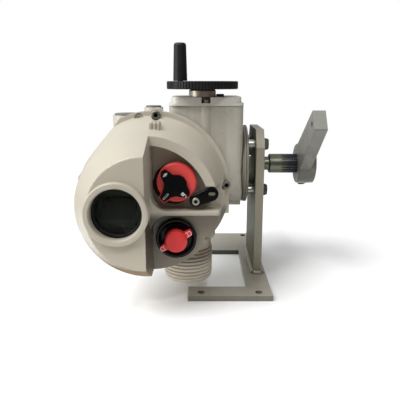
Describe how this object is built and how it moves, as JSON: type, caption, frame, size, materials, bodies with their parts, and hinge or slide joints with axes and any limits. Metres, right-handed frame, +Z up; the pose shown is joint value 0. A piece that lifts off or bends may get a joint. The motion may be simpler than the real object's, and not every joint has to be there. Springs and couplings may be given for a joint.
{
  "type": "motorized valve actuator",
  "caption": "Quarter-turn electric valve actuator on a floor bracket: round control housing, ribbed motor, worm gearbox, handwheel and splined output lever.",
  "frame": {"origin": "centre of the base plate's four bolt holes, on its underside", "axes": "+X along the output shaft towards the lever, +Y to the rear, +Z up"},
  "size_m": [0.3525, 0.376, 0.359],
  "materials": {
    "bracket_paint": "satin paint",
    "weld": "painted weld bead",
    "zinc_hardware": "zinc plated",
    "dark_hardware": "blackened",
    "body_paint": "semi-gloss paint on casting",
    "boss_metal": "turned",
    "rubber_seal": "matt",
    "flange_paint": "painted, machined edge",
    "bearing_steel": "polished",
    "shaft_steel": "oiled dark steel",
    "bronze": "machined bronze",
    "gear_steel": "hobbed steel",
    "lever_paint": "satin paint",
    "black_plastic": "satin moulded",
    "gloss_black": "gloss",
    "red_plastic": "satin",
    "laminations": "laminated",
    "end_plate": "cast",
    "glass": "clear",
    "circuit_board": "solder mask",
    "component_plastic": "moulded",
    "screen": "display"
  },
  "bodies": {
    "root": {"base_plate": "bracket_paint", "upright_plate": "bracket_paint", "weld_beads": "weld", "spacer_sleeves": "zinc_hardware", "bracket_washers": "zinc_hardware", "bracket_bolts": "dark_hardware", "centring_ring": "zinc_hardware", "gear_housing": "body_paint", "housing_lid": "body_paint", "lid_screws": "zinc_hardware", "oil_plug": "dark_hardware", "handwheel_boss": "boss_metal", "boss_seal": "rubber_seal", "output_flange": "flange_paint", "rear_cap": "body_paint", "output_seal": "rubber_seal", "output_bearing_front": "bearing_steel", "output_bearing_rear": "bearing_steel", "worm_bearings": "bearing_steel", "motor_cover": "body_paint", "motor_bearings": "bearing_steel", "motor_stator": "laminations", "motor_end_plate": "end_plate", "motor_screws": "dark_hardware", "control_housing": "body_paint", "entry_plugs": "black_plastic", "front_cover": "body_paint", "cover_screws": "zinc_hardware", "cover_gasket": "rubber_seal", "window_glass": "glass", "window_gasket": "rubber_seal", "upper_bezel": "gloss_black", "lower_bezel": "gloss_black", "latch_post": "boss_metal", "latch_screw": "zinc_hardware", "control_board": "circuit_board", "control_relays": "component_plastic", "transformer": "laminations", "terminal_block": "component_plastic", "lcd_display": "screen", "lcd_board": "circuit_board"},
    "output": {"output_shaft": "shaft_steel", "wheel_key": "shaft_steel", "worm_wheel": "bronze", "lever_arm": "lever_paint", "lever_clamp_bolt": "dark_hardware", "lever_clamp_nut": "zinc_hardware"},
    "handwheel_shaft": {"worm_shaft": "shaft_steel", "worm_gear": "gear_steel", "handwheel": "black_plastic", "handwheel_cap": "black_plastic", "grip_axle": "shaft_steel"},
    "grip": {"spinner_grip": "black_plastic"},
    "motor": {"motor_shaft": "shaft_steel", "motor_rotor": "laminations", "motor_gear": "gear_steel"},
    "upper_selector": {"upper_selector_knob": "red_plastic", "upper_pointer": "gloss_black"},
    "lower_selector": {"lower_selector_knob": "red_plastic"},
    "latch": {"padlock_latch": "gloss_black"}
  },
  "joints": [
    {"name": "worm_spin", "type": "hinge", "parent": "root", "child": "handwheel_shaft", "pos_m": [-0.04, -0.04, 0.3], "axis": [0, 0, 1], "range_deg": [-3600, 0]},
    {"name": "output_swing", "type": "hinge", "parent": "root", "child": "output", "pos_m": [0, 0, 0.1755], "axis": [1, 0, 0], "range_deg": [-90, 0]},
    {"name": "motor_spin", "type": "hinge", "parent": "root", "child": "motor", "pos_m": [-0.0615, -0.09387, 0.06], "axis": [0, 0, 1], "range_deg": [-10, 5110]},
    {"name": "grip_spin", "type": "hinge", "parent": "handwheel_shaft", "child": "grip", "pos_m": [-0.072, -0.07, 0.33], "axis": [0, 0, 1], "continuous": true},
    {"name": "upper_selector_turn", "type": "hinge", "parent": "root", "child": "upper_selector", "pos_m": [-0.0735, -0.175, 0.18], "axis": [0, 1, 0], "range_deg": [-45, 45]},
    {"name": "lower_selector_turn", "type": "hinge", "parent": "root", "child": "lower_selector", "pos_m": [-0.075, -0.18, 0.103], "axis": [0, 1, 0], "range_deg": [-45, 45]},
    {"name": "latch_swing", "type": "hinge", "parent": "root", "child": "latch", "pos_m": [-0.049, -0.18, 0.156], "axis": [0, -1, 0], "range_deg": [-4, 4]}
  ],
  "couplings": [
    {"joint": "output_swing", "follows": "worm_spin", "ratio": 0.025},
    {"joint": "motor_spin", "follows": "worm_spin", "ratio": -1.4167}
  ]
}
